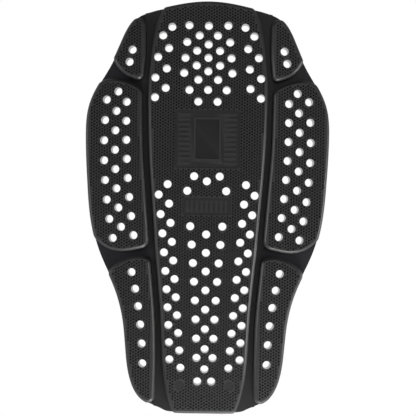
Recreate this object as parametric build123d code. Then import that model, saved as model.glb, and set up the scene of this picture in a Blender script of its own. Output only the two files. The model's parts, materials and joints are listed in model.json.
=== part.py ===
from build123d import *
import os

# Motorcycle back protector insert: seven perforated pads on one thin carrier sheet.
# A long spine pad stands between three pads on each side: shoulder, rib and waist.
# Frame: +Z to the neck, +X to the wearer's right, +Y to the wearer's back.
# The origin is the middle of the flat body-side face of the spine liner.
# Flat outlines are drawn in X and Z and grow outwards, along -Y.

# ---------------------------------------------------------------- driving sizes (mm, degrees)
length = 440.0
width = 260.0
liner_thickness = 3.0
web_thickness = 3.0
flex_thickness = 2.0
spine_pad_height = 10.0
wing_pad_height = 9.0
skin_thickness = 1.5
skin_side = 2.2
pad_bevel = 2.5
groove_width = 5.8
vent_diameter = 8.5
spine_corner_radius = 5.0
wing_corner_radius = {"shoulder": 6.0, "rib": 10.0, "waist": 8.0}
groove_end_radius = {"shoulder": 8.0, "waist": 7.0}     # where a pad's inner edge meets the outer edge
rest_fold = 4.0     # how far each wing leans to the wearer's body as made

# ---------------------------------------------------------------- clearances (mm)
lap = 4.0           # how far a channel floor runs under the pad below it
seam_gap = 1.0      # between the carrier sheets of neighbouring wings, in their plane
strip_gap = 0.3     # between a hinge strip and the wing that it leads to
inset_steps = 16    # points along each edge of a core's outline
join_tolerance = 0.01       # widest gap that is closed between two edges of a core's outline
halvings = 40       # that find a height on the groove

# ---------------------------------------------------------------- worked out
half_width = width / 2
half_length = length / 2
pad_base = liner_thickness + web_thickness
hinge_height = liner_thickness + flex_thickness / 2
reach = width + length      # farther out than any edge of the protector
zones = ("shoulder", "rib", "waist")

# ---------------------------------------------------------------- flat pattern, right half
# Every place is a share of the half width (across) and of the half length (along).
silhouette = [
    (0.000, 1.000),
    (0.344, 0.971),
    (0.492, 0.947),
    (0.584, 0.922),
    (0.645, 0.885),
    (0.684, 0.845),
    (0.770, 0.729),
    (0.840, 0.651),
    (0.918, 0.574),
    (0.977, 0.490),
    (1.000, 0.341),
    (0.982, 0.109),
    (0.932, -0.124),
    (0.868, -0.240),
    (0.749, -0.395),
    (0.676, -0.550),
    (0.648, -0.705),
    (0.618, -0.821),
    (0.567, -0.898),
    (0.511, -0.937),
    (0.384, -0.974),
    (0.000, -1.000),
]

# The groove: wing side (across, along) and how much wider than groove_width it is, in mm.
groove = [
    (0.516, 0.980, 15.5),
    (0.510, 0.845, 2.6),
    (0.511, 0.724, -0.6),
    (0.527, 0.627, -0.4),
    (0.533, 0.458, 0.0),
    (0.521, 0.240, 0.3),
    (0.488, 0.000, 0.0),
    (0.453, -0.254, 0.0),
    (0.415, -0.487, 0.0),
    (0.400, -0.705, 0.5),
    (0.402, -0.874, 4.8),
    (0.412, -1.010, 16.0),
]

shoulder_bottom = [(0.477, 0.598), (0.590, 0.620), (0.697, 0.649), (0.758, 0.691), (0.792, 0.755)]
rib_top = [(0.470, 0.540), (0.574, 0.586), (0.662, 0.609), (0.762, 0.622), (0.852, 0.613), (0.970, 0.545)]
rib_bottom = [
    (0.400, -0.190),
    (0.549, -0.205),
    (0.692, -0.218),
    (0.795, -0.206),
    (0.893, -0.167),
    (0.985, -0.100),
]
waist_top = [
    (0.385, -0.250),
    (0.467, -0.246),
    (0.554, -0.239),
    (0.655, -0.253),
    (0.746, -0.283),
    (0.825, -0.345),
]

# Heights between which each wing folds on a straight stretch of the groove.
hinge_span = {"shoulder": (0.815, 0.600), "rib": (0.530, -0.145), "waist": (-0.262, -0.842)}

# Rows of vents: the first, middle and last place of a row and how many vents it has.
spine_middle_rows = [
    ((0.0, 0.880), (0.0, 0.725), (0.0, 0.570), 2),
    ((0.0, 0.790), (0.0, 0.725), (0.0, 0.660), 3),
    ((0.0, -0.131), (0.0, -0.449), (0.0, -0.784), 8),
]
spine_paired_rows = [
    ((0.075, 0.833), (0.097, 0.723), (0.081, 0.619), 4),
    ((0.160, 0.882), (0.183, 0.762), (0.198, 0.651), 4),
    ((0.079, 0.513), (0.115, 0.541), (0.153, 0.569), 2),
    ((0.300, 0.873), (0.334, 0.720), (0.348, 0.577), 4),
    ((0.374, 0.831), (0.426, 0.676), (0.435, 0.531), 4),
    ((0.105, 0.151), (0.135, 0.118), (0.160, 0.080), 2),
    ((0.132, -0.092), (0.090, -0.406), (0.066, -0.729), 8),
    ((0.322, 0.111), (0.255, -0.349), (0.197, -0.778), 11),
    ((0.394, 0.060), (0.325, -0.355), (0.288, -0.738), 10),
]
spine_single_vents = [(0.0, 0.127)]
spine_paired_vents = [(0.057, -0.843)]
wing_rows = {
    "shoulder": [
        ((0.619, 0.761), (0.631, 0.731), (0.643, 0.702), 2),
    ],
    "rib": [
        ((0.662, 0.508), (0.651, 0.185), (0.592, -0.139), 8),
        ((0.732, 0.558), (0.752, 0.228), (0.696, -0.099), 8),
        ((0.827, 0.518), (0.839, 0.175), (0.763, -0.154), 8),
    ],
    "waist": [
        ((0.604, -0.318), (0.536, -0.527), (0.505, -0.760), 6),
    ],
}


# ---------------------------------------------------------------- drawing aids
def place(across, along):
    """Point of the flat pattern, in mm."""
    return (across * half_width, along * half_length)


def curve_of(shares):
    """Curve points in mm, from places given as shares."""
    return [place(*share) for share in shares]


def shifted(points, down):
    """The same curve, moved towards the waist."""
    return [(x, z - down) for x, z in points]


def row_of_vents(first, middle, last, count):
    """Vent places along a smooth row that runs through its first, middle and last place."""
    vents = []
    for index in range(count):
        t = index / (count - 1)
        weights = ((1 - t) * (1 - 2 * t), 4 * t * (1 - t), t * (2 * t - 1))
        across = sum(weight * point[0] for weight, point in zip(weights, (first, middle, last)))
        along = sum(weight * point[1] for weight, point in zip(weights, (first, middle, last)))
        vents.append(place(across, along))
    return vents


def on_both_sides(vents):
    """Vents and their mirror images."""
    return vents + [(-x, z) for x, z in vents]


def outline_face():
    """The whole protector, laid flat."""
    points = [place(*point) for point in silhouette]
    right = Spline(*points, tangents=((1, 0), (-1, 0)))
    left = mirror(right, about=Plane.YZ)
    return make_face([right, left])


def region(points, *corners):
    """Flat face inside a smooth curve and the straight lines that close it through the corners."""
    curve = Spline(*points)
    closing = Polyline(curve @ 1, *corners, curve @ 0)
    return make_face([curve, closing])


def outboard_of(points):
    """Everything on the +X side of a curve that runs from the neck to the waist."""
    return region(points, (reach, points[-1][1]), (reach, points[0][1]))


def above(points):
    """Everything on the neck side of a curve that runs outwards."""
    return region(points, (reach, points[-1][1]), (reach, reach), (0, reach), (0, points[0][1]))


def below(points):
    """Everything on the waist side of a curve that runs outwards."""
    return region(points, (reach, points[-1][1]), (reach, -reach), (0, -reach), (0, points[0][1]))


# ---------------------------------------------------------------- groove and hinge lines
def wing_edge(back_off=0.0):
    """Wing side of the right groove."""
    return [(x - back_off, z) for x, z in (place(across, along) for across, along, _ in groove)]


def spine_edge():
    """Spine side of the right groove."""
    points = []
    for across, along, extra in groove:
        x, z = place(across, along)
        points.append((x - groove_width - extra, z))
    return points


def groove_middle(along):
    """Middle of the right groove at a height, by halving between curve parameters."""
    curve = Spline(*wing_edge())
    height = along * half_length
    low, high = 0.0, 1.0
    for _ in range(halvings):
        middle = (low + high) / 2
        if (curve @ middle).Y > height:
            low = middle
        else:
            high = middle
    return ((curve @ low).X - groove_width / 2, height)


def hinge_axis(zone):
    """Fold axis of a right wing: up the groove, in the middle of the thin sheet."""
    top, bottom = (groove_middle(along) for along in hinge_span[zone])
    direction = (top[0] - bottom[0], 0, top[1] - bottom[1])
    return Axis((bottom[0], -hinge_height, bottom[1]), direction)


# ---------------------------------------------------------------- flat regions
def spine_region():
    """Outline of the spine pad, its carrier and its liner."""
    right = Spline(*spine_edge())
    left = mirror(right, about=Plane.YZ)
    top, bottom = right @ 0, right @ 1
    over_neck = Polyline(top, (top.X, reach), (-top.X, reach), left @ 0)
    under_waist = Polyline(bottom, (bottom.X, -reach), (-bottom.X, -reach), left @ 1)
    return make_face([right, over_neck, left, under_waist]) & outline_face()


def wing_region():
    """Everything on the right between the groove and the outer edge."""
    return outboard_of(wing_edge()) & outline_face()


def rounded(sketch, zone):
    """A wing pad's outline with its corners rounded, most of all at an end of the groove."""
    from_neck = zone == "shoulder"
    corners = sketch.vertices().sort_by(Axis.Y, reverse=from_neck)
    if zone not in groove_end_radius:
        return fillet(corners, wing_corner_radius[zone])
    sketch = fillet(corners[1:], wing_corner_radius[zone])
    groove_end = sketch.vertices().sort_by(Axis.Y, reverse=from_neck)[0]
    return fillet(groove_end, groove_end_radius[zone])


def pad_regions():
    """Outlines of the three right wing pads, with their rounded corners."""
    wing = wing_region()
    pads = {
        "shoulder": wing & above(curve_of(shoulder_bottom)),
        "rib": wing & below(curve_of(rib_top)) & above(curve_of(rib_bottom)),
        "waist": wing & below(curve_of(waist_top)),
    }
    return {zone: rounded(pads[zone], zone) for zone in zones}


def cut_into_zones(sketch):
    """Split a region of the right side so that each part runs on under the next pad's top edge."""
    rib_start = curve_of(rib_top)
    waist_start = curve_of(waist_top)
    return {
        "shoulder": sketch & above(shifted(rib_start, lap)),
        "rib": sketch & below(shifted(rib_start, lap + seam_gap)) & above(shifted(waist_start, lap)),
        "waist": sketch & below(shifted(waist_start, lap + seam_gap)),
    }


def groove_region():
    """The right groove, clear of the wings by the strip gap."""
    return (outboard_of(spine_edge()) & outline_face()) - outboard_of(wing_edge(back_off=strip_gap))


# ---------------------------------------------------------------- layers
def layer(sketch, base, thickness):
    """Solid sheet of a flat outline: base is its height over the body side."""
    return extrude(Plane.XZ.offset(base) * sketch, thickness)


def inset(sketch, distance):
    """An outline drawn inwards by a distance, each of its edges as one smooth curve."""
    edges = []
    for edge in offset(sketch, -distance).edges().filter_by(lambda edge: edge.length > join_tolerance):
        points = [edge @ (step / inset_steps) for step in range(inset_steps + 1)]
        edges.append(Spline(*points, tangents=(edge % 0, edge % 1)))
    return Sketch() + Face(Wire.combine(edges, tol=join_tolerance)[0])


def bevelled(solid):
    """A pad block with its outer top edge cut back all round."""
    top = solid.faces().sort_by(Axis.Y)[0]
    return chamfer(top.outer_wire().edges(), pad_bevel)


def vented(solid, vents):
    """A layer with every vent punched through it."""
    depth = 2 * (pad_base + spine_pad_height + wing_pad_height)
    punch = Rot(X=90) * Cylinder(vent_diameter / 2, depth)
    return solid - [Pos(x, 0, z) * punch for x, z in vents]


def pad(sketch, height, vents):
    """Textured skin and foam core of one pad."""
    block = bevelled(layer(sketch, pad_base, height))
    core = layer(inset(sketch, skin_side), pad_base, height - skin_thickness)
    return {"skin": vented(block - core, vents), "core": vented(core, vents)}


def carrier(sheet_sketch, pad_sketch, vents):
    """Carrier sheet: thin in the channels, full thickness under the pad."""
    thin = layer(sheet_sketch, liner_thickness, flex_thickness)
    thick = layer(sheet_sketch & pad_sketch, liner_thickness, web_thickness)
    return vented(thin + thick, vents)


def liner(sketch, vents):
    """Soft liner against the wearer's back."""
    return vented(layer(sketch, 0, liner_thickness), vents)


# ---------------------------------------------------------------- bodies
def spine_parts():
    """The long middle pad with its carrier and liner."""
    sheet_sketch = spine_region()
    pad_sketch = fillet(sheet_sketch.vertices(), spine_corner_radius)
    vents = [place(*share) for share in spine_single_vents]
    vents += on_both_sides([place(*share) for share in spine_paired_vents])
    for row in spine_middle_rows:
        vents += row_of_vents(*row)
    for row in spine_paired_rows:
        vents += on_both_sides(row_of_vents(*row))
    parts = pad(pad_sketch, spine_pad_height, vents)
    parts["web"] = carrier(sheet_sketch, pad_sketch, vents)
    parts["liner"] = liner(sheet_sketch, vents)
    return {f"spine_{name}": solid for name, solid in parts.items()}


def right_wing_parts(zone, pad_sketch, sheet_sketch):
    """One right wing, folded to rest about its groove."""
    vents = []
    for row in wing_rows[zone]:
        vents += row_of_vents(*row)
    parts = pad(pad_sketch, wing_pad_height, vents)
    parts["web"] = carrier(sheet_sketch, pad_sketch, vents)
    parts["liner"] = liner(sheet_sketch, vents)
    axis = hinge_axis(zone)
    return {f"{zone}_{name}": solid.rotate(axis, rest_fold) for name, solid in parts.items()}


def right_parts():
    """All wings and hinge strips of the right side."""
    pads = pad_regions()
    sheets = cut_into_zones(wing_region())
    strips = cut_into_zones(groove_region())
    parts = {}
    for zone in zones:
        parts.update(right_wing_parts(zone, pads[zone], sheets[zone]))
        parts[f"{zone}_hinge_web"] = layer(strips[zone], liner_thickness, flex_thickness)
    return parts


def main():
    """Build every piece and write one STEP file for each."""
    os.makedirs("parts", exist_ok=True)
    nodes = spine_parts()
    for name, solid in right_parts().items():
        nodes[f"right_{name}"] = solid
        nodes[f"left_{name}"] = mirror(solid, about=Plane.YZ)
    for name, solid in nodes.items():
        export_step(solid, f"parts/{name}.step")


if __name__ == "__main__":
    main()
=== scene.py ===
"""A back protector of seven vented pads on a hinged rubber web, for Blender 4.5.

Metres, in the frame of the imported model: +Z towards the neck, +X the wearer's right, +Y the wearer's back.
"""

import json
import math

import bmesh
import bpy
from mathutils import Matrix, Vector


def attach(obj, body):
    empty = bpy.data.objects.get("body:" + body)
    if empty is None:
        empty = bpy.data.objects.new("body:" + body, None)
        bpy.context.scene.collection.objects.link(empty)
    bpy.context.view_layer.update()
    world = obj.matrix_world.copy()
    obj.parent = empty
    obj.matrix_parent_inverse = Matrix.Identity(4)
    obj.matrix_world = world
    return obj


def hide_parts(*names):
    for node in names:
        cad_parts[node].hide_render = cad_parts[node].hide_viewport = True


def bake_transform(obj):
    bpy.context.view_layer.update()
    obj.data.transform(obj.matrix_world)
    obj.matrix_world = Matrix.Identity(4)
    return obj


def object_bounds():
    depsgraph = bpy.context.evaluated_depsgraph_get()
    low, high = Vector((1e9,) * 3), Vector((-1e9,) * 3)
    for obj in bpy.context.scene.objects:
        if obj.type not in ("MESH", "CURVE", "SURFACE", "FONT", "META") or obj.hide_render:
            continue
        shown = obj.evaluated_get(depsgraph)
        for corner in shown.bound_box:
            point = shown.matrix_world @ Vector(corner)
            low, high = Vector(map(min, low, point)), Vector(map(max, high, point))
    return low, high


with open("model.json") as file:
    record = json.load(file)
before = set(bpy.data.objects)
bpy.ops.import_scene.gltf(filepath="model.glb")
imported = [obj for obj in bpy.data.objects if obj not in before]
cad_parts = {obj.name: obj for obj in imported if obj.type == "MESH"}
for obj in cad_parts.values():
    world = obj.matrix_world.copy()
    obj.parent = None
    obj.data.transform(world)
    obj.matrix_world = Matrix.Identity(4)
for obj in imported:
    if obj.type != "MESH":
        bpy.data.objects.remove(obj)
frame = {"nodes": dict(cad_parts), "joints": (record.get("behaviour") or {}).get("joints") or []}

cad_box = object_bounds()

bl_info = {
    "name": "Back protector",
    "version": (1, 0, 0),
    "blender": (4, 5, 0),
    "location": "View3D > Sidebar > Protector",
    "description": "Models a hinged, vented back protector round its CAD frame",
    "category": "Object",
}

SIDES = ("left", "right")
ZONES = ("shoulder", "rib", "waist")
WINGS = tuple(f"{side}_{zone}" for side in SIDES for zone in ZONES)
BODIES = ("spine",) + WINGS
JOINTS = {joint["child"]: joint for joint in frame["joints"]}

OUTWARDS = Vector((0, -1, 0))
FREE_ENDS = {"shoulder": 1, "waist": -1}       # the end of a side's strips that is seen in outline
MERGE_DISTANCE = 1e-6
FLAT_ANGLE = math.radians(1)
CHAMFER_ANGLES = (math.radians(30), math.radians(60))
CORNER_ANGLES = (math.radians(70), math.radians(110))
SMOOTH_ANGLE = math.radians(32)
VENT_FACET_ANGLE = math.radians(6)
UPRIGHT = 0.1                       # a wall's normal is this near to square with the outward direction
END_FACING = 0.7                    # an end face's normal lies at least this far along its own direction
SEAT_TOLERANCE = 1e-5
SEAT_CLEARANCE = 0.01               # how far out the search for a peg's seat begins
PEG_SIDES = 6
PEG_CORNERS = 2 * PEG_SIDES
BEND_STEPS = 6                      # cuts on each side of a hinge line

# Sockets of the Mix node when it mixes colours.
MIX_FIRST, MIX_SECOND, MIX_RESULT = 6, 7, 2

# Sunk areas of the spine pad that have no pits: middle (x, z), size, and the raised bars in them.
# A bar is its middle from the area's middle, and its size.
BAR_PITCH = 0.0052
PANEL_BARS = [
    ((side * 0.0245, row * BAR_PITCH), (0.013, 0.0024)) for side in (-1, 1) for row in range(-5, 6)
]
BAND_BARS = [((column * BAR_PITCH, 0.0), (0.0022, 0.0125)) for column in range(-4, 5)]
SUNK_AREAS = [
    ((0.0, 0.073), (0.070, 0.062), PANEL_BARS),
    ((0.0, 0.001), (0.052, 0.018), BAND_BARS),
]
PANEL_FRAME = ((0.0, 0.073), (0.029, 0.046), 0.002)      # middle, outer size and width of the frame
SUNK_CORNER = 0.003
SUNK_SPOTS = [(-0.0266, -0.190), (0.0266, -0.190)]

# The middle of the view lies a little off the origin. The floor reaches from behind to far in front.
VIEW_MIDDLE = (0.0016, -0.0005)
FLOOR_MIDDLE_Y = -0.95
FLOOR_SIZE = (3.0, 2.2, 1.0)

# Strength of the surroundings: low in front of the protector, full behind it.
FRONT_GLOW = 0.04
BACK_GLOW = 1.0
GLOW_STARTS, GLOW_FULL = 0.1, 0.5   # along +Y, as shares of the direction of view

# Each light: name, place, size, power and what it faces.
LIGHTS = [
    ("light_right", (0.70, -0.16, -0.12), 0.35, 3.2, (0.1, 0, -0.05)),
    ("light_left", (-0.65, -0.30, 0.0), 0.35, 2.2, (-0.1, 0, -0.05)),
    ("light_below", (0.1, -0.16, -0.58), 0.35, 4.5, (0, 0, -0.1)),
    ("light_front", (0.3, -1.9, 0.9), 1.0, 3.6, (0, 0, 0)),
]


# ---------------------------------------------------------------- sizes and colours


class PadSettings(bpy.types.PropertyGroup):
    """Sizes and colours of the seven pads."""

    edge_rounding: bpy.props.FloatProperty(
        name="Edge rounding", description="Width of the rounding along a pad's bevel",
        default=0.0009, unit="LENGTH")
    vent_rounding: bpy.props.FloatProperty(
        name="Vent rounding", description="Width of the rounding round a vent's mouth",
        default=0.0003, unit="LENGTH")
    pit_across: bpy.props.FloatProperty(
        name="Pit spacing across", description="Distance between columns of pits",
        default=0.0028, unit="LENGTH")
    pit_along: bpy.props.FloatProperty(
        name="Pit spacing along", description="Distance between pits of a column",
        default=0.0032, unit="LENGTH")
    pit_mouth: bpy.props.FloatProperty(
        name="Pit mouth", description="Radius of a pit at the surface",
        default=0.00125, unit="LENGTH")
    pit_floor: bpy.props.FloatProperty(
        name="Pit floor", description="Radius of a pit at its floor",
        default=0.00065, unit="LENGTH")
    pit_depth: bpy.props.FloatProperty(
        name="Pit depth", description="Depth of a pit",
        default=0.0009, unit="LENGTH")
    sunk_depth: bpy.props.FloatProperty(
        name="Sunk depth", description="Depth of the smooth sunk areas of the spine pad",
        default=0.0003, unit="LENGTH")
    spot_radius: bpy.props.FloatProperty(
        name="Spot radius", description="Radius of the two smooth spots low on the spine pad",
        default=0.0050, unit="LENGTH")
    rest_fold: bpy.props.FloatProperty(
        name="Rest fold", description="How far the wings lean towards the body at rest",
        default=math.radians(4), subtype="ANGLE")
    rubber: bpy.props.FloatVectorProperty(
        name="Rubber", description="Colour of the textured pad covers",
        default=(0.016, 0.016, 0.017), subtype="COLOR")
    # Partly rubbing and partly painted highlight: the paler colour on edges and pit ridges also stands in
    # for the light that their tops catch.
    rub_and_sheen: bpy.props.FloatVectorProperty(
        name="Worn and highlit rubber", description="Colour of the pad covers where edges are rubbed",
        default=(0.055, 0.055, 0.057), subtype="COLOR")
    # Painted light: the paler colour towards the outer and lower edges stands in for the extra light that
    # the wings and the lower pads catch.
    painted_lit: bpy.props.FloatVectorProperty(
        name="Painted lit rubber", description="Colour of the pad covers towards the outer edge",
        default=(0.260, 0.260, 0.265), subtype="COLOR")
    sunk: bpy.props.FloatVectorProperty(
        name="Sunk areas", description="Colour of the smooth sunk areas",
        default=(0.014, 0.014, 0.015), subtype="COLOR")
    # Painted shade: the pit walls and floors are made darker for the shade that falls in them.
    pit: bpy.props.FloatVectorProperty(
        name="Pit shade", description="Painted shade of the rubber inside the pits",
        default=(0.005, 0.005, 0.0055), subtype="COLOR")
    foam: bpy.props.FloatVectorProperty(
        name="Foam", description="Colour of the foam seen inside the vents",
        default=(0.10, 0.10, 0.10), subtype="COLOR")


class WebSettings(bpy.types.PropertyGroup):
    """Sizes and colours of the carrier webs, hinge strips and liners."""

    web_rounding: bpy.props.FloatProperty(
        name="Web rounding", description="Width of the rounding along the web's outer edges",
        default=0.0005, unit="LENGTH")
    liner_rounding: bpy.props.FloatProperty(
        name="Liner rounding", description="Width of the rounding along the liner's edges",
        default=0.0010, unit="LENGTH")
    strip_tuck: bpy.props.FloatProperty(
        name="Strip tuck", description="How far a hinge strip reaches into the webs beside it",
        default=0.0015, unit="LENGTH")
    strip_overlap: bpy.props.FloatProperty(
        name="Strip overlap", description="How far a hinge strip runs on into the next strip",
        default=0.0007, unit="LENGTH")
    bend_reach: bpy.props.FloatProperty(
        name="Bend reach", description="Half the width over which a hinge strip bends",
        default=0.004, unit="LENGTH")
    web: bpy.props.FloatVectorProperty(
        name="Web rubber", description="Colour of the smooth carrier webs",
        default=(0.022, 0.022, 0.023), subtype="COLOR")
    # Painted light: the paler web towards the outer and lower edges stands in for the extra light there, as
    # on the pads.
    web_painted_lit: bpy.props.FloatVectorProperty(
        name="Painted lit web", description="Colour of the carrier webs towards the outer edge",
        default=(0.075, 0.075, 0.076), subtype="COLOR")
    strip: bpy.props.FloatVectorProperty(
        name="Hinge rubber", description="Colour of the thin hinge strips",
        default=(0.012, 0.012, 0.013), subtype="COLOR")
    liner: bpy.props.FloatVectorProperty(
        name="Liner", description="Colour of the knitted liner inside its cells",
        default=(0.006, 0.006, 0.007), subtype="COLOR")
    liner_rib: bpy.props.FloatVectorProperty(
        name="Liner rib", description="Colour of the knitted liner between its cells",
        default=(0.035, 0.035, 0.037), subtype="COLOR")


class StageSettings(bpy.types.PropertyGroup):
    """The camera, the floor and the lights."""

    camera_distance: bpy.props.FloatProperty(
        name="Camera distance", description="From the front of the spine pad",
        default=1.5, unit="LENGTH")
    view_width: bpy.props.FloatProperty(
        name="View width", description="Width of the view at the front of the spine pad",
        default=0.4432, unit="LENGTH")
    camera_roll: bpy.props.FloatProperty(
        name="Camera roll", description="Turn of the camera about its line of sight",
        default=-0.0135, subtype="ANGLE")
    floor_gap: bpy.props.FloatProperty(
        name="Floor gap", description="From the lower edge of the protector to the floor",
        default=0.40, unit="LENGTH")
    floor_colour: bpy.props.FloatVectorProperty(
        name="Floor", description="Colour of the floor",
        default=(0.86, 0.86, 0.85), subtype="COLOR")


# ---------------------------------------------------------------- modelling helpers


def activate(piece):
    """Makes a piece the only selected object and the active one."""
    bpy.ops.object.select_all(action="DESELECT")
    piece.select_set(True)
    bpy.context.view_layer.objects.active = piece


def merged_copy(node, name, *materials):
    """A new object with a copy of a CAD node's mesh, its loose triangles merged into whole faces."""
    mesh = frame["nodes"][node].data.copy()
    mesh.name = name
    mesh.materials.clear()
    for material in materials:
        mesh.materials.append(material)
    piece = bpy.data.objects.new(name, mesh)
    bpy.context.scene.collection.objects.link(piece)
    activate(piece)
    bpy.ops.mesh.customdata_custom_splitnormals_clear()
    bpy.ops.object.mode_set(mode="EDIT")
    bpy.ops.mesh.select_all(action="SELECT")
    bpy.ops.mesh.remove_doubles(threshold=MERGE_DISTANCE)
    bpy.ops.mesh.dissolve_limited(angle_limit=FLAT_ANGLE)
    bpy.ops.object.mode_set(mode="OBJECT")
    return piece


def select_parts(piece, kind, wanted):
    """Enters edit mode with just the edges or faces selected that wanted accepts."""
    activate(piece)
    bpy.ops.object.mode_set(mode="EDIT")
    bpy.ops.mesh.select_mode(type=kind)
    bpy.ops.mesh.select_all(action="DESELECT")
    shape = bmesh.from_edit_mesh(piece.data)
    for part in shape.edges if kind == "EDGE" else shape.faces:
        if wanted(part):
            part.select_set(True)
    bmesh.update_edit_mesh(piece.data)


def leave_edit_mode():
    bpy.ops.object.mode_set(mode="OBJECT")


def convex(edge, angles):
    """Whether an edge stands out by an angle in the given range."""
    low, high = angles
    return edge.is_manifold and low < edge.calc_face_angle_signed() < high


def assign_vent_walls(piece, outwards):
    """Gives the walls of a piece's vents its second material."""

    def in_vent(face):
        upright = abs(face.normal.dot(outwards)) < UPRIGHT
        return upright and any(
            edge.is_manifold and -SMOOTH_ANGLE < edge.calc_face_angle_signed() < -VENT_FACET_ANGLE
            for edge in face.edges)

    select_parts(piece, "FACE", in_vent)
    piece.active_material_index = 1
    bpy.ops.object.material_slot_assign()
    leave_edit_mode()


def apply_boolean(piece, tool, operation):
    """Joins a closed tool mesh to a piece, or cuts it out, and removes the tool."""
    activate(piece)
    bpy.ops.object.modifier_add(type="BOOLEAN")
    boolean = piece.modifiers[-1]
    boolean.object = tool
    boolean.operation = operation
    boolean.solver = "MANIFOLD"
    boolean.material_mode = "TRANSFER"
    bpy.ops.object.modifier_apply(modifier=boolean.name)
    bpy.data.objects.remove(tool)


def rest_fold(body, angle):
    """The turn that folds a wing from the flat sheet to its place at rest."""
    if body not in JOINTS:
        return Matrix.Identity(4)
    joint = JOINTS[body]
    hinge = Matrix.Translation(Vector(joint["pos_m"]))
    return hinge @ Matrix.Rotation(angle, 4, Vector(joint["axis"])) @ hinge.inverted()


def wing_outwards(body, pads):
    """The way a body's flat outer face looks at rest."""
    return rest_fold(body, pads.rest_fold).to_3x3() @ OUTWARDS


def smooth_shade(piece, outwards):
    """Shades a piece smooth, but keeps its flat outer and inner faces flat up to their borders."""
    flat = math.cos(FLAT_ANGLE)
    select_parts(piece, "FACE", lambda face: abs(face.normal.dot(outwards)) > flat)
    bpy.ops.mesh.region_to_loop()
    bpy.ops.mesh.mark_sharp()
    leave_edit_mode()
    activate(piece)
    bpy.ops.object.shade_smooth_by_angle(angle=SMOOTH_ANGLE, keep_sharp_edges=True)


def finish_piece(piece, body, node):
    """Hides the CAD node a piece stands for and lets the piece ride with its body."""
    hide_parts(node)
    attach(piece, body)


# ---------------------------------------------------------------- shader helpers


def shader_group(name, inputs, outputs):
    """A new shader node group, with its input and output nodes."""
    group = bpy.data.node_groups.new(name, "ShaderNodeTree")
    for label, kind, value in inputs:
        socket = group.interface.new_socket(label, in_out="INPUT", socket_type=kind)
        if value is not None:
            socket.default_value = value
    for label, kind in outputs:
        group.interface.new_socket(label, in_out="OUTPUT", socket_type=kind)
    return group, group.nodes.new("NodeGroupInput"), group.nodes.new("NodeGroupOutput")


def add_node(tree, kind, links=None, **settings):
    """A new node with its settings, and its inputs either linked or set."""
    node = tree.nodes.new(kind)
    for key, value in settings.items():
        setattr(node, key, value)
    for key, value in (links or {}).items():
        if isinstance(value, bpy.types.NodeSocket):
            tree.links.new(value, node.inputs[key])
        else:
            node.inputs[key].default_value = value
    return node


def moulded_grain():
    """A node group: the fine grain and the slow mottling of moulded rubber."""
    if "Moulded grain" in bpy.data.node_groups:
        return bpy.data.node_groups["Moulded grain"]
    group, start, end = shader_group(
        "Moulded grain",
        [("Position", "NodeSocketVector", None),
         ("Grain Scale", "NodeSocketFloat", 1800.0),
         ("Mottle Scale", "NodeSocketFloat", 60.0)],
        [("Height", "NodeSocketFloat"), ("Mottle", "NodeSocketFloat")])
    grain = add_node(group, "ShaderNodeTexNoise", {
        "Vector": start.outputs["Position"], "Scale": start.outputs["Grain Scale"],
        "Detail": 3.0, "Roughness": 0.6})
    mottle = add_node(group, "ShaderNodeTexNoise", {
        "Vector": start.outputs["Position"], "Scale": start.outputs["Mottle Scale"],
        "Detail": 4.0, "Roughness": 0.55})
    group.links.new(grain.outputs["Fac"], end.inputs["Height"])
    group.links.new(mottle.outputs["Fac"], end.inputs["Mottle"])
    return group


def edge_rub_sheen_shade():
    """A node group: a broken mask along a piece's outer edges and pit ridges, partly rubbing and partly
    painted highlight, and a mask of its hollows for painted shade.
    """
    if "Edge rubbing, sheen and shade" in bpy.data.node_groups:
        return bpy.data.node_groups["Edge rubbing, sheen and shade"]
    group, start, end = shader_group(
        "Edge rubbing, sheen and shade",
        [("Position", "NodeSocketVector", None),
         ("Start", "NodeSocketFloat", 0.52),
         ("Full", "NodeSocketFloat", 0.60),
         ("Breakup Scale", "NodeSocketFloat", 220.0)],
        [("Mask", "NodeSocketFloat"), ("Hollow", "NodeSocketFloat")])
    surface = add_node(group, "ShaderNodeNewGeometry")
    # Painted shade: where the pointiness is low, in hollows, this mask darkens the colour.
    hollow = add_node(group, "ShaderNodeMapRange", {
        "Value": surface.outputs["Pointiness"], "From Min": 0.46, "From Max": 0.38}, clamp=True)
    group.links.new(hollow.outputs["Result"], end.inputs["Hollow"])
    edge = add_node(group, "ShaderNodeMapRange", {
        "Value": surface.outputs["Pointiness"], "From Min": start.outputs["Start"],
        "From Max": start.outputs["Full"]}, clamp=True)
    breakup = add_node(group, "ShaderNodeTexNoise", {
        "Vector": start.outputs["Position"], "Scale": start.outputs["Breakup Scale"], "Detail": 3.0})
    spread = add_node(group, "ShaderNodeMapRange", {
        "Value": breakup.outputs["Fac"], "From Min": 0.3, "From Max": 0.65, "To Min": 0.35}, clamp=True)
    mask = add_node(group, "ShaderNodeMath", {0: edge.outputs["Result"], 1: spread.outputs["Result"]},
                    operation="MULTIPLY")
    group.links.new(mask.outputs[0], end.inputs["Mask"])
    return group


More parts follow.
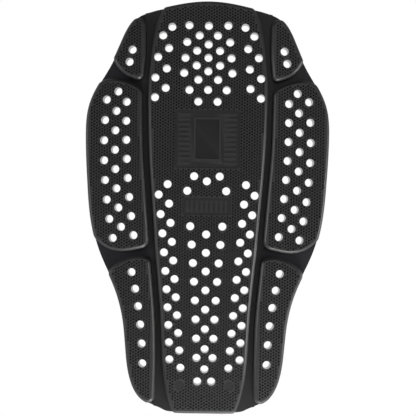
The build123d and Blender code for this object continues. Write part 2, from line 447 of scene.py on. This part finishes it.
def painted_outer_light():
    """A node group: a soft mask of painted light that grows towards the outer and lower edges of the
    protector.
    """
    if "Painted outer light" in bpy.data.node_groups:
        return bpy.data.node_groups["Painted outer light"]
    group, start, end = shader_group(
        "Painted outer light",
        [("Position", "NodeSocketVector", None),
         ("Inner", "NodeSocketFloat", 0.045),
         ("Outer", "NodeSocketFloat", 0.085),
         ("Upper", "NodeSocketFloat", -0.13),
         ("Lower", "NodeSocketFloat", -0.20)],
        [("Mask", "NodeSocketFloat")])
    axes = add_node(group, "ShaderNodeSeparateXYZ", {"Vector": start.outputs["Position"]})
    across = add_node(group, "ShaderNodeMath", {0: axes.outputs["X"]}, operation="ABSOLUTE")
    outwards = add_node(group, "ShaderNodeMapRange", {
        "Value": across.outputs[0], "From Min": start.outputs["Inner"],
        "From Max": start.outputs["Outer"]}, interpolation_type="SMOOTHSTEP")
    downwards = add_node(group, "ShaderNodeMapRange", {
        "Value": axes.outputs["Z"], "From Min": start.outputs["Upper"],
        "From Max": start.outputs["Lower"], "To Max": 0.5}, interpolation_type="SMOOTHSTEP")
    either = add_node(group, "ShaderNodeMath", {
        0: outwards.outputs["Result"], 1: downwards.outputs["Result"]}, operation="MAXIMUM")
    patches = add_node(group, "ShaderNodeTexNoise", {
        "Vector": start.outputs["Position"], "Scale": 70.0, "Detail": 4.0})
    spread = add_node(group, "ShaderNodeMapRange", {
        "Value": patches.outputs["Fac"], "From Min": 0.3, "From Max": 0.6, "To Min": 0.7})
    mask = add_node(group, "ShaderNodeMath", {0: either.outputs[0], 1: spread.outputs["Result"]},
                    operation="MULTIPLY")
    group.links.new(mask.outputs[0], end.inputs["Mask"])
    return group


def foam_cells():
    """A node group: the closed cells of a fine foam, and its slow changes of shade."""
    group, start, end = shader_group(
        "Foam cells",
        [("Position", "NodeSocketVector", None), ("Cell Scale", "NodeSocketFloat", 1400.0)],
        [("Height", "NodeSocketFloat"), ("Shade", "NodeSocketFloat")])
    cells = add_node(group, "ShaderNodeTexVoronoi", {
        "Vector": start.outputs["Position"], "Scale": start.outputs["Cell Scale"]},
        feature="SMOOTH_F1")
    patches = add_node(group, "ShaderNodeTexNoise", {
        "Vector": start.outputs["Position"], "Scale": 90.0, "Detail": 3.0})
    group.links.new(cells.outputs["Distance"], end.inputs["Height"])
    group.links.new(patches.outputs["Fac"], end.inputs["Shade"])
    return group


def spacer_knit():
    """A node group: the open cells and the fine yarn of a knitted spacer lining."""
    group, start, end = shader_group(
        "Spacer knit",
        [("Position", "NodeSocketVector", None),
         ("Cell Scale", "NodeSocketFloat", 380.0),
         ("Yarn Scale", "NodeSocketFloat", 2200.0)],
        [("Height", "NodeSocketFloat"), ("Rib", "NodeSocketFloat")])
    axes = add_node(group, "ShaderNodeSeparateXYZ", {"Vector": start.outputs["Position"]})
    flat = add_node(group, "ShaderNodeCombineXYZ", {"X": axes.outputs["X"], "Y": axes.outputs["Z"]})
    turned = add_node(group, "ShaderNodeMapping", {
        "Vector": flat.outputs["Vector"], "Rotation": (0, 0, math.radians(45))})
    cells = add_node(group, "ShaderNodeTexVoronoi", {
        "Vector": turned.outputs["Vector"], "Scale": start.outputs["Cell Scale"], "Randomness": 0.12},
        voronoi_dimensions="2D")
    rib = add_node(group, "ShaderNodeMapRange", {
        "Value": cells.outputs["Distance"], "From Min": 0.18, "From Max": 0.42},
        interpolation_type="SMOOTHSTEP")
    yarn = add_node(group, "ShaderNodeTexNoise", {
        "Vector": start.outputs["Position"], "Scale": start.outputs["Yarn Scale"], "Detail": 2.0})
    fuzz = add_node(group, "ShaderNodeMath", {0: yarn.outputs["Fac"], 1: 0.25}, operation="MULTIPLY")
    height = add_node(group, "ShaderNodeMath", {0: rib.outputs["Result"], 1: fuzz.outputs[0]},
                      operation="ADD")
    group.links.new(height.outputs[0], end.inputs["Height"])
    group.links.new(rib.outputs["Result"], end.inputs["Rib"])
    return group


def group_node(tree, group, links):
    """Places a node group in a material, with its inputs linked or set."""
    return add_node(tree, "ShaderNodeGroup", links, node_tree=group)


def mixed(tree, factor, first, second):
    """The socket of two colours mixed by a factor."""
    mix = add_node(tree, "ShaderNodeMix", {
        "Factor": factor, MIX_FIRST: first, MIX_SECOND: second}, data_type="RGBA")
    return mix.outputs[MIX_RESULT]


def new_material(name, **shader):
    """A new material: its tree, its Principled shader with plain values set, and Object coordinates."""
    material = bpy.data.materials.new(name)
    material.use_nodes = True
    tree = material.node_tree
    principled = tree.nodes["Principled BSDF"]
    for key, value in shader.items():
        principled.inputs[key.replace("_", " ")].default_value = value
    place = tree.nodes.new("ShaderNodeTexCoord").outputs["Object"]
    return material, tree, principled, place


def rgba(colour, factor=1.0):
    """A colour with its alpha, made darker or paler by a factor."""
    return tuple(channel * factor for channel in colour) + (1.0,)


def rubber_material(name, colour, painted_lit_colour, rub_and_sheen_colour, roughness, grain_depth, rub_sheen_range):
    """Moulded black rubber: fine grain, slow mottling, painted light towards the outer and lower edges,
    painted shade in the hollows, and paler edges and pit ridges that are partly rubbing and partly a painted
    highlight.
    """
    if name in bpy.data.materials:
        return bpy.data.materials[name]
    smoothest, roughest = roughness
    rub_sheen_start, rub_sheen_full = rub_sheen_range
    material, tree, principled, place = new_material(name, Roughness=smoothest)
    grain = group_node(tree, moulded_grain(), {"Position": place})
    rub_sheen_shade = group_node(tree, edge_rub_sheen_shade(), {"Position": place, "Start": rub_sheen_start, "Full": rub_sheen_full})
    painted_light_mask = group_node(tree, painted_outer_light(), {"Position": place})
    fresh = mixed(tree, grain.outputs["Mottle"], rgba(colour, 0.75), rgba(colour, 1.25))
    # Painted light: the colour grows paler towards the outer and lower edges, where the wings and the lower
    # pads catch more light.
    body = mixed(tree, painted_light_mask.outputs["Mask"], fresh, rgba(painted_lit_colour))
    # Painted shade: the hollows are darkened to three tenths of the colour.
    shaded = mixed(tree, rub_sheen_shade.outputs["Hollow"], body, rgba(colour, 0.3))
    # Partly rubbing and partly painted highlight: edges and pit ridges are made paler.
    rub_and_highlight = mixed(tree, rub_sheen_shade.outputs["Mask"], shaded, rgba(rub_and_sheen_colour))
    gloss = add_node(tree, "ShaderNodeMapRange", {
        "Value": grain.outputs["Mottle"], "To Min": smoothest, "To Max": roughest})
    bump = add_node(tree, "ShaderNodeBump", {
        "Height": grain.outputs["Height"], "Strength": 0.5, "Distance": grain_depth})
    tree.links.new(rub_and_highlight, principled.inputs["Base Color"])
    tree.links.new(gloss.outputs["Result"], principled.inputs["Roughness"])
    tree.links.new(bump.outputs["Normal"], principled.inputs["Normal"])
    return material


def cut_wall(pads):
    """The smooth cut walls of the vents, which shine at a low angle."""
    return rubber_material("cut_wall", pads.foam, pads.foam, pads.foam,
                           (0.12, 0.2), 0.00002, (0.6, 0.7))


def foam_material(name, colour, roughness, cell_scale, cell_depth):
    """Matte closed foam with fine cells."""
    material, tree, principled, place = new_material(name, Roughness=roughness)
    cells = group_node(tree, foam_cells(), {"Position": place, "Cell Scale": cell_scale})
    body = mixed(tree, cells.outputs["Shade"], rgba(colour, 0.7), rgba(colour, 1.3))
    bump = add_node(tree, "ShaderNodeBump", {
        "Height": cells.outputs["Height"], "Strength": 0.6, "Distance": cell_depth})
    tree.links.new(body, principled.inputs["Base Color"])
    tree.links.new(bump.outputs["Normal"], principled.inputs["Normal"])
    return material


def knit_material(name, colour, rib_colour):
    """A soft knitted lining with open cells and a faint sheen."""
    material, tree, principled, place = new_material(
        name, Roughness=0.9, Sheen_Weight=0.25, Sheen_Roughness=0.5)
    knit = group_node(tree, spacer_knit(), {"Position": place})
    cells = mixed(tree, knit.outputs["Rib"], rgba(colour), rgba(rib_colour))
    bump = add_node(tree, "ShaderNodeBump", {
        "Height": knit.outputs["Height"], "Strength": 0.8, "Distance": 0.0006})
    tree.links.new(cells, principled.inputs["Base Color"])
    tree.links.new(bump.outputs["Normal"], principled.inputs["Normal"])
    return material


# ---------------------------------------------------------------- pads


def pit_lattice(pads, width, length, material):
    """Closed six-sided pegs, one for every pit of a flat sheet of the given size, in staggered columns.

    Each peg tapers inwards from the sheet's outer face at y = 0 and stands a little proud of it.
    """
    proud = pads.pit_depth / 3
    slope = (pads.pit_mouth - pads.pit_floor) / pads.pit_depth
    bpy.ops.object.select_all(action="DESELECT")
    bpy.ops.mesh.primitive_cone_add(
        vertices=PEG_SIDES, radius1=pads.pit_floor, radius2=pads.pit_mouth + slope * proud,
        depth=pads.pit_depth + proud, location=(0, (pads.pit_depth - proud) / 2, 0),
        rotation=(math.pi / 2, 0, 0))
    pegs = bpy.context.active_object
    # Painted shade: the pegs carry the pit material to the walls and floors of the pits they cut.
    pegs.data.materials.append(material)
    bpy.ops.object.transform_apply()
    columns = 2 * math.ceil(width / pads.pit_across / 4) + 1
    rows = 2 * math.ceil(length / pads.pit_along / 2) + 1
    for offset, count in (
            ((pads.pit_across, 0, pads.pit_along / 2), 2),
            ((0, 0, pads.pit_along), rows),
            ((2 * pads.pit_across, 0, 0), columns)):
        bpy.ops.object.modifier_add(type="ARRAY")
        array = pegs.modifiers[-1]
        array.use_relative_offset = False
        array.use_constant_offset = True
        array.constant_offset_displace = offset
        array.count = count
        bpy.ops.object.modifier_apply(modifier=array.name)
    middle = Vector(((columns - 1) * pads.pit_across, 0, (rows // 2) * pads.pit_along))
    pegs.data.transform(Matrix.Translation(-middle))
    return pegs


def box_tool(middle, size, base, top, material):
    """A closed block with upright corners, from one height over the body side to another."""
    bpy.ops.object.select_all(action="DESELECT")
    bpy.ops.mesh.primitive_cube_add(
        size=1.0, location=(middle[0], -(base + top) / 2, middle[1]),
        scale=(size[0], top - base, size[1]))
    block = bpy.context.active_object
    block.data.materials.append(material)
    bpy.ops.object.transform_apply()
    return block


def sink_areas(cover, pads, height, material):
    """Sinks the smooth areas into the spine pad, with their raised bars and frame left standing."""
    floor = height - pads.sunk_depth
    proud = height + pads.sunk_depth
    for middle, size, bars in SUNK_AREAS:
        area = box_tool(middle, size, floor, proud, material)
        select_parts(
            area, "EDGE", lambda edge: abs((edge.verts[0].co - edge.verts[1].co).y) > pads.sunk_depth)
        bpy.ops.mesh.bevel(offset=SUNK_CORNER, segments=4, affect="EDGES")
        leave_edit_mode()
        for (x, z), bar_size in bars:
            bar = box_tool((middle[0] + x, middle[1] + z), bar_size, floor - pads.sunk_depth,
                           proud + pads.sunk_depth, material)
            apply_boolean(area, bar, "DIFFERENCE")
        if middle == PANEL_FRAME[0]:
            _, frame_size, bar_width = PANEL_FRAME
            inner_size = [side - 2 * bar_width for side in frame_size]
            ring = box_tool(middle, frame_size, floor - pads.sunk_depth, proud + pads.sunk_depth, material)
            inner = box_tool(middle, inner_size, floor - 2 * pads.sunk_depth,
                             proud + 2 * pads.sunk_depth, material)
            apply_boolean(ring, inner, "DIFFERENCE")
            apply_boolean(area, ring, "DIFFERENCE")
        apply_boolean(cover, area, "DIFFERENCE")
    for x, z in SUNK_SPOTS:
        bpy.ops.object.select_all(action="DESELECT")
        bpy.ops.mesh.primitive_cylinder_add(
            vertices=32, radius=pads.spot_radius, depth=2 * pads.sunk_depth,
            location=(x, -height, z), rotation=(math.pi / 2, 0, 0))
        spot = bpy.context.active_object
        spot.data.materials.append(material)
        bpy.ops.object.transform_apply()
        apply_boolean(cover, spot, "DIFFERENCE")


def seated(cover, peg, outwards, height):
    """Whether a peg's whole mouth stands on the pad's flat outer face.

    The height is the outer face's, along the outward direction from the origin.
    """
    middle = sum(peg, Vector()) / len(peg)
    for point in [middle] + peg:
        start = point + outwards * SEAT_CLEARANCE
        hit, place, normal, _ = cover.ray_cast(start, -outwards, distance=2 * SEAT_CLEARANCE)
        if not hit or normal.angle(outwards) > FLAT_ANGLE:
            return False
        if place.dot(outwards) < height - SEAT_TOLERANCE:
            return False
    return True


def keep_seated_pegs(pegs, cover, outwards, height):
    """Deletes the pegs that miss the pad's flat face, or that stand in a sunk area or a vent."""
    activate(pegs)
    bpy.ops.object.mode_set(mode="EDIT")
    bpy.ops.mesh.select_mode(type="VERT")
    bpy.ops.mesh.select_all(action="DESELECT")
    shape = bmesh.from_edit_mesh(pegs.data)
    points = list(shape.verts)
    for first in range(0, len(points), PEG_CORNERS):
        peg = points[first:first + PEG_CORNERS]
        if not seated(cover, [point.co for point in peg], outwards, height):
            for point in peg:
                point.select_set(True)
    shape.select_flush(True)
    bmesh.update_edit_mesh(pegs.data)
    bpy.ops.mesh.delete(type="VERT")
    leave_edit_mode()


def make_pad_cover(body, pads, lattice, rubber, sunk):
    """One pad's moulded cover: rounded bevel, softened vents and the pitted outer face."""
    cover = merged_copy(f"{body}_skin", f"{body}_pad_cover", rubber)
    turn = rest_fold(body, pads.rest_fold)
    outwards = wing_outwards(body, pads)
    select_parts(cover, "EDGE", lambda edge: convex(edge, CHAMFER_ANGLES))
    bpy.ops.mesh.bevel(offset=pads.edge_rounding, segments=3, affect="EDGES", clamp_overlap=True)
    leave_edit_mode()

    def vent_mouth(edge):
        facing = any(face.normal.angle(outwards, math.pi) < FLAT_ANGLE for face in edge.link_faces)
        return facing and convex(edge, CORNER_ANGLES)

    select_parts(cover, "EDGE", vent_mouth)
    bpy.ops.mesh.bevel(offset=pads.vent_rounding, segments=2, affect="EDGES", clamp_overlap=True)
    leave_edit_mode()

    height = max(-(turn.inverted() @ vertex.co).y for vertex in cover.data.vertices)
    if body == "spine":
        sink_areas(cover, pads, height, sunk)
    pegs = bpy.data.objects.new(f"{body}_pits", lattice.data.copy())
    bpy.context.scene.collection.objects.link(pegs)
    pegs.data.transform(turn @ Matrix.Translation(height * OUTWARDS))
    bpy.context.view_layer.update()
    face_height = max(vertex.co.dot(outwards) for vertex in cover.data.vertices)
    keep_seated_pegs(pegs, cover, outwards, face_height)
    apply_boolean(cover, pegs, "DIFFERENCE")
    smooth_shade(cover, outwards)
    return cover


class PROTECTOR_OT_pad_covers(bpy.types.Operator):
    """Models the seven textured pad covers"""

    bl_idname = "protector.pad_covers"
    bl_label = "Pad covers"

    def execute(self, context):
        pads = context.scene.protector_pads
        rubber = rubber_material("textured_rubber", pads.rubber, pads.painted_lit, pads.rub_and_sheen,
                                 (0.42, 0.55), 0.00012, (0.53, 0.62))
        # Painted shade: the pits get a darker rubber for the shade that falls in them.
        pit = rubber_material("pit_shade_rubber", pads.pit, pads.pit, pads.pit,
                              (0.6, 0.7), 0.00012, (0.53, 0.62))
        sunk = rubber_material("sunk_rubber", pads.sunk, pads.sunk, pads.rub_and_sheen,
                               (0.55, 0.65), 0.0002, (0.53, 0.62))
        low, high = cad_box
        lattice = pit_lattice(pads, high[0] - low[0], high[2] - low[2], pit)
        for body in BODIES:
            cover = make_pad_cover(body, pads, lattice, rubber, sunk)
            finish_piece(cover, body, f"{body}_skin")
        bpy.data.objects.remove(lattice)
        return {"FINISHED"}


class PROTECTOR_OT_foam_cores(bpy.types.Operator):
    """Models the seven foam cores that show in the vents"""

    bl_idname = "protector.foam_cores"
    bl_label = "Foam cores"

    def execute(self, context):
        pads = context.scene.protector_pads
        foam = foam_material("impact_foam", pads.foam, 0.6, 1500.0, 0.00005)
        for body in BODIES:
            core = merged_copy(f"{body}_core", f"{body}_foam_core", foam, cut_wall(pads))
            assign_vent_walls(core, wing_outwards(body, pads))
            smooth_shade(core, wing_outwards(body, pads))
            finish_piece(core, body, f"{body}_core")
        return {"FINISHED"}


# ---------------------------------------------------------------- webs, hinge strips and liners


class PROTECTOR_OT_carrier_webs(bpy.types.Operator):
    """Models the seven smooth webs that carry the pads"""

    bl_idname = "protector.carrier_webs"
    bl_label = "Carrier webs"

    def execute(self, context):
        webs = context.scene.protector_webs
        pads = context.scene.protector_pads
        rubber = rubber_material("carrier_rubber", webs.web, webs.web_painted_lit, pads.rub_and_sheen,
                                 (0.38, 0.50), 0.00006, (0.55, 0.66))
        for body in BODIES:
            web = merged_copy(f"{body}_web", f"{body}_carrier_web", rubber, cut_wall(pads))
            select_parts(web, "EDGE", lambda edge: convex(edge, CORNER_ANGLES))
            bpy.ops.mesh.bevel(offset=webs.web_rounding, segments=3, affect="EDGES", clamp_overlap=True)
            leave_edit_mode()
            assign_vent_walls(web, wing_outwards(body, pads))
            smooth_shade(web, wing_outwards(body, pads))
            finish_piece(web, body, f"{body}_web")
        return {"FINISHED"}


class PROTECTOR_OT_hinge_strips(bpy.types.Operator):
    """Models the six thin hinge strips between the spine and the wings, cut across each hinge line"""

    bl_idname = "protector.hinge_strips"
    bl_label = "Hinge strips"

    def execute(self, context):
        webs = context.scene.protector_webs
        pads = context.scene.protector_pads
        rubber = rubber_material("flex_rubber", webs.strip, webs.web_painted_lit, pads.rub_and_sheen,
                                 (0.40, 0.52), 0.00006, (0.56, 0.68))
        for wing in WINGS:
            joint = JOINTS[wing]
            strip = merged_copy(f"{wing}_hinge_web", f"{wing}_hinge_strip", rubber)
            for direction in (-1, 1):
                select_parts(strip, "FACE", lambda face: face.normal.x * direction > END_FACING)
                bpy.ops.transform.translate(value=(direction * webs.strip_tuck, 0, 0))
                leave_edit_mode()
                if direction == FREE_ENDS.get(wing.split("_")[1]):
                    continue
                select_parts(strip, "FACE", lambda face: face.normal.z * direction > END_FACING)
                bpy.ops.transform.translate(value=(0, 0, direction * webs.strip_overlap))
                leave_edit_mode()
            hinge = Vector(joint["pos_m"])
            across = Vector(joint["axis"]).cross(OUTWARDS)
            across.normalize()
            for step in range(-BEND_STEPS, BEND_STEPS + 1):
                select_parts(strip, "FACE", lambda face: True)
                bpy.ops.mesh.bisect(
                    plane_co=hinge + across * (webs.bend_reach * step / BEND_STEPS), plane_no=across)
                leave_edit_mode()
            activate(strip)
            bpy.ops.object.shade_smooth_by_angle(angle=SMOOTH_ANGLE)
            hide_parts(f"{wing}_hinge_web")
            outboard = 1 if wing.startswith("right") else -1
            side = across * webs.bend_reach
            if side.x * outboard < 0:
                side = -side
            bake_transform(strip)
        return {"FINISHED"}


class PROTECTOR_OT_liners(bpy.types.Operator):
    """Models the seven soft liners on the body side"""

    bl_idname = "protector.liners"
    bl_label = "Comfort liners"

    def execute(self, context):
        webs = context.scene.protector_webs
        pads = context.scene.protector_pads
        knit = knit_material("comfort_foam", webs.liner, webs.liner_rib)
        for body in BODIES:
            liner = merged_copy(f"{body}_liner", f"{body}_comfort_liner", knit, cut_wall(pads))
            select_parts(liner, "EDGE", lambda edge: convex(edge, CORNER_ANGLES))
            bpy.ops.mesh.bevel(offset=webs.liner_rounding, segments=3, affect="EDGES",
                               clamp_overlap=True)
            leave_edit_mode()
            assign_vent_walls(liner, wing_outwards(body, pads))
            smooth_shade(liner, wing_outwards(body, pads))
            finish_piece(liner, body, f"{body}_liner")
        return {"FINISHED"}


# ---------------------------------------------------------------- stage


def soft_light(name, location, size, power, target):
    """A square area light that faces a target and isn't seen itself."""
    turn = (Vector(target) - Vector(location)).to_track_quat("-Z", "Y").to_euler()
    bpy.ops.object.light_add(type="AREA", location=location, rotation=turn)
    light = bpy.context.active_object
    light.name = name
    light.data.size = size
    light.data.energy = power
    light.visible_camera = False


class PROTECTOR_OT_stage(bpy.types.Operator):
    """Sets up the camera, the floor, the white surroundings and the lights"""

    bl_idname = "protector.stage"
    bl_label = "Stage"

    def execute(self, context):
        stage = context.scene.protector_stage
        low = cad_box[0]
        middle = Vector((VIEW_MIDDLE[0], low[1], VIEW_MIDDLE[1]))
        bpy.ops.object.camera_add(
            location=middle + OUTWARDS * stage.camera_distance,
            rotation=(math.pi / 2, stage.camera_roll, 0))
        camera = context.active_object
        camera.data.sensor_width = 36.0
        camera.data.lens = camera.data.sensor_width * stage.camera_distance / stage.view_width
        context.scene.camera = camera

        bpy.ops.mesh.primitive_plane_add(size=1.0, location=(0, FLOOR_MIDDLE_Y, low[2] - stage.floor_gap))
        floor = context.active_object
        floor.name = "floor"
        floor.scale = FLOOR_SIZE
        bpy.ops.object.transform_apply()
        material, tree, principled, place = new_material("pale_floor", Roughness=0.8)
        mottle = add_node(tree, "ShaderNodeTexNoise", {"Vector": place, "Scale": 3.0})
        tone = mixed(tree, mottle.outputs["Fac"], rgba(stage.floor_colour, 0.97),
                     rgba(stage.floor_colour, 1.03))
        tree.links.new(tone, principled.inputs["Base Color"])
        floor.data.materials.append(material)

        world = bpy.data.worlds.new("white_studio")
        world.use_nodes = True
        tree = world.node_tree
        background = tree.nodes["Background"]
        background.inputs["Color"].default_value = (1, 1, 1, 1)
        seen = tree.nodes.new("ShaderNodeLightPath").outputs["Is Camera Ray"]
        sky = tree.nodes.new("ShaderNodeTexCoord").outputs["Generated"]
        towards = add_node(tree, "ShaderNodeSeparateXYZ", {"Vector": sky}).outputs["Y"]
        backdrop = add_node(tree, "ShaderNodeMapRange", {
            "Value": towards, "From Min": GLOW_STARTS, "From Max": GLOW_FULL,
            "To Min": FRONT_GLOW, "To Max": BACK_GLOW}, clamp=True)
        strength = add_node(tree, "ShaderNodeMath", {0: seen, 1: backdrop.outputs["Result"]},
                            operation="MAXIMUM")
        tree.links.new(strength.outputs[0], background.inputs["Strength"])
        context.scene.world = world
        context.scene.view_settings.view_transform = "Standard"

        for light in LIGHTS:
            soft_light(*light)
        return {"FINISHED"}


class VIEW3D_PT_protector(bpy.types.Panel):
    """The protector's pieces and their sizes"""

    bl_label = "Back protector"
    bl_space_type = "VIEW_3D"
    bl_region_type = "UI"
    bl_category = "Protector"

    def draw(self, context):
        scene = context.scene
        for settings in (scene.protector_pads, scene.protector_webs, scene.protector_stage):
            box = self.layout.box()
            for name in settings.__annotations__:
                box.prop(settings, name)
        for operator in OPERATORS:
            self.layout.operator(operator.bl_idname)


OPERATORS = (
    PROTECTOR_OT_stage,
    PROTECTOR_OT_pad_covers,
    PROTECTOR_OT_foam_cores,
    PROTECTOR_OT_carrier_webs,
    PROTECTOR_OT_hinge_strips,
    PROTECTOR_OT_liners,
)
SETTINGS = {
    "protector_pads": PadSettings,
    "protector_webs": WebSettings,
    "protector_stage": StageSettings,
}


def register():
    for settings in SETTINGS.values():
        bpy.utils.register_class(settings)
    for name, settings in SETTINGS.items():
        setattr(bpy.types.Scene, name, bpy.props.PointerProperty(type=settings))
    for operator in OPERATORS:
        bpy.utils.register_class(operator)
    bpy.utils.register_class(VIEW3D_PT_protector)


def unregister():
    bpy.utils.unregister_class(VIEW3D_PT_protector)
    for operator in reversed(OPERATORS):
        bpy.utils.unregister_class(operator)
    for name, settings in SETTINGS.items():
        delattr(bpy.types.Scene, name)
        bpy.utils.unregister_class(settings)


def main():
    register()
    bpy.ops.protector.stage()
    bpy.ops.protector.pad_covers()
    bpy.ops.protector.foam_cores()
    bpy.ops.protector.carrier_webs()
    bpy.ops.protector.hinge_strips()
    bpy.ops.protector.liners()


if __name__ == "__main__":
    main()
